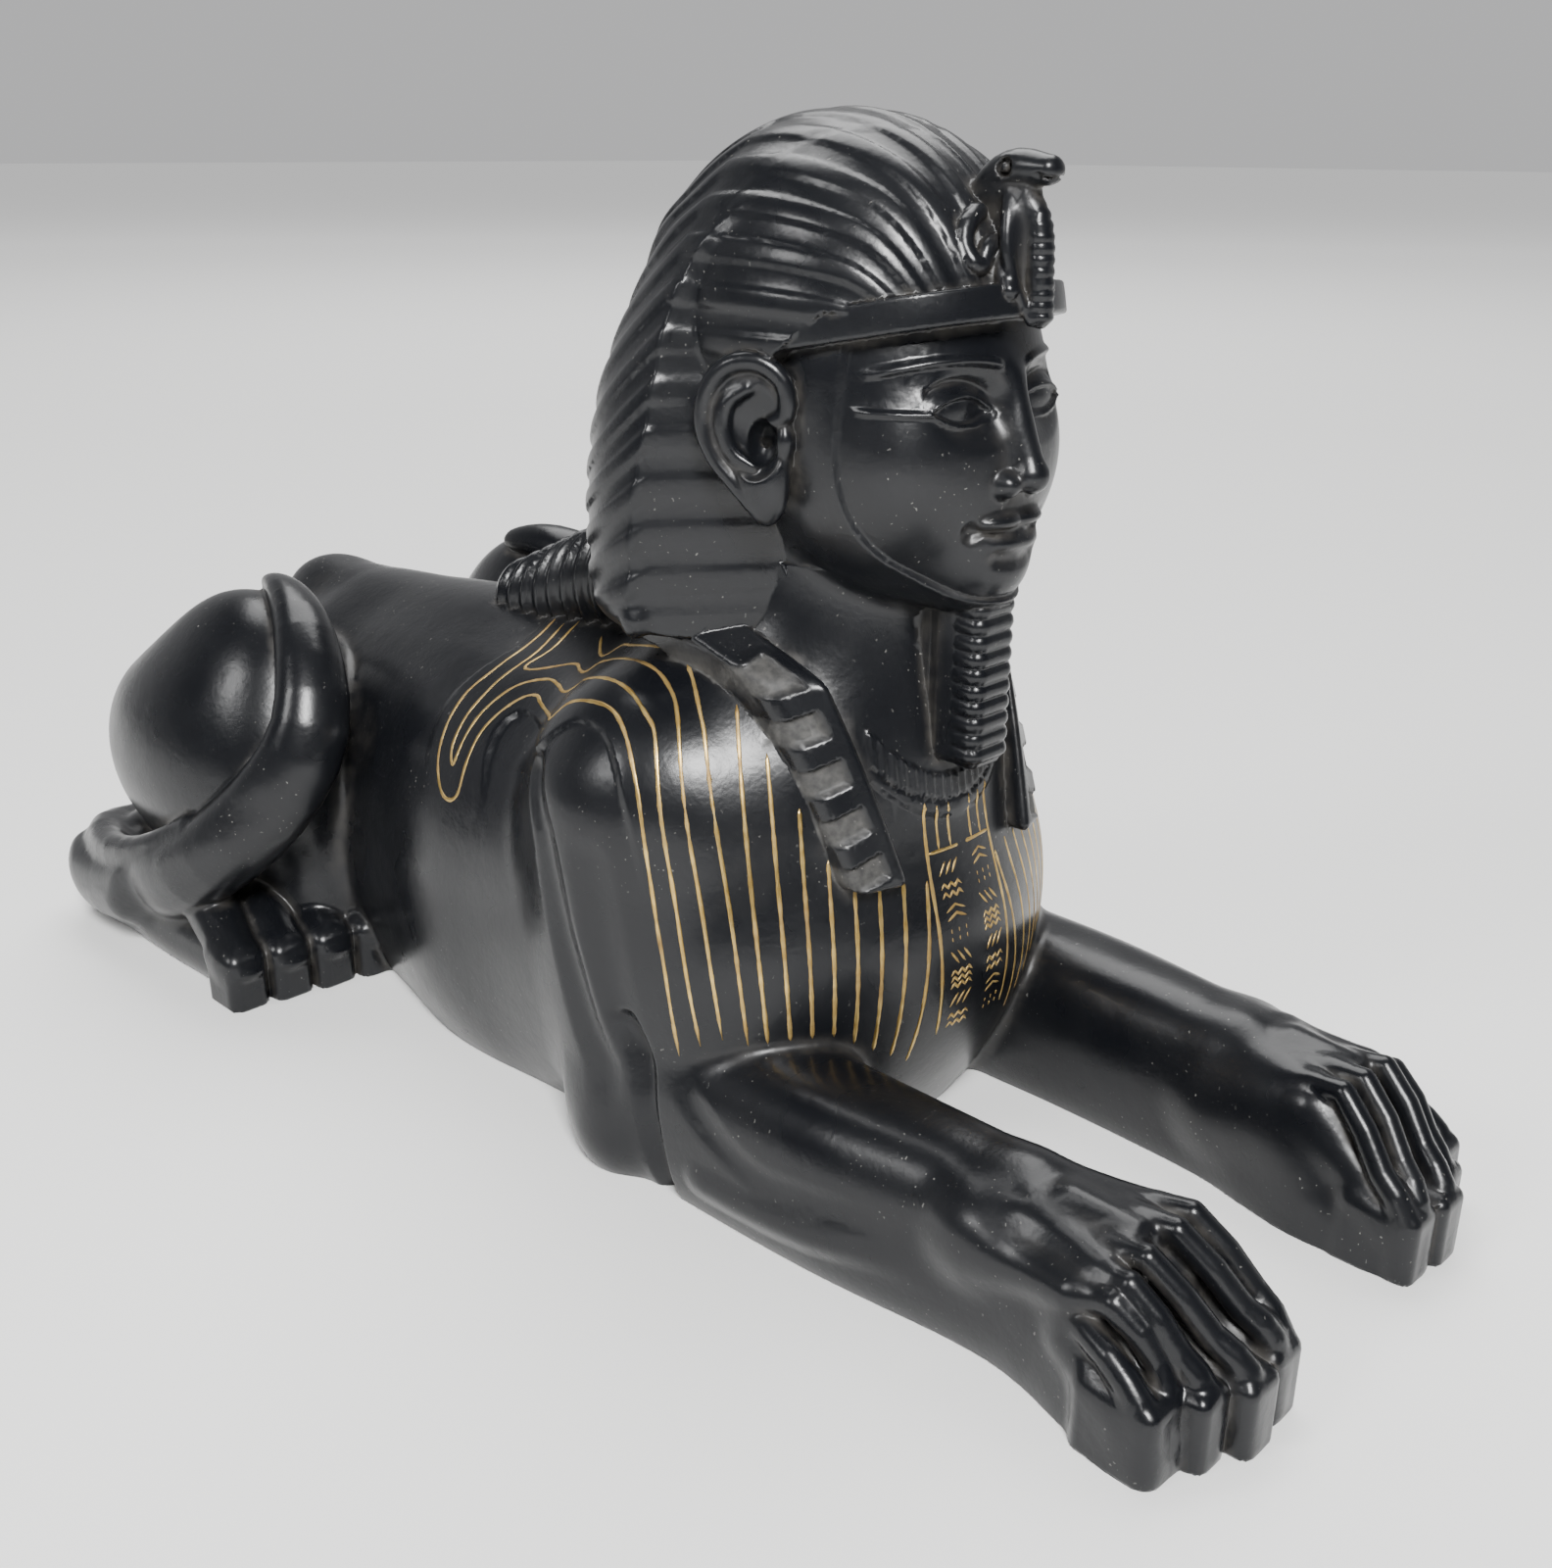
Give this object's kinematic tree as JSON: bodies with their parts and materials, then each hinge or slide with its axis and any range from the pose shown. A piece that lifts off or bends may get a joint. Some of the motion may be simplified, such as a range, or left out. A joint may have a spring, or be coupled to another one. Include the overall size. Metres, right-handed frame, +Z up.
{
  "type": "sphinx statue",
  "caption": "Reclining sphinx statue in black cast resin, with striped headcloth, straight beard, outstretched paws and gold lines in its chest.",
  "frame": {"origin": "middle of the statue's length and width, at the surface that it lies on", "axes": "-Y the way the sphinx faces, +X its left side, +Z up"},
  "size_m": [0.1748, 0.3509, 0.2053],
  "materials": {
    "black_resin": "satin black cast resin with fine dust in the recesses",
    "gold_paint": "thin worn gold paint in engraved lines"
  },
  "bodies": {
    "root": {"sphinx": "black_resin"}
  },
  "joints": []
}
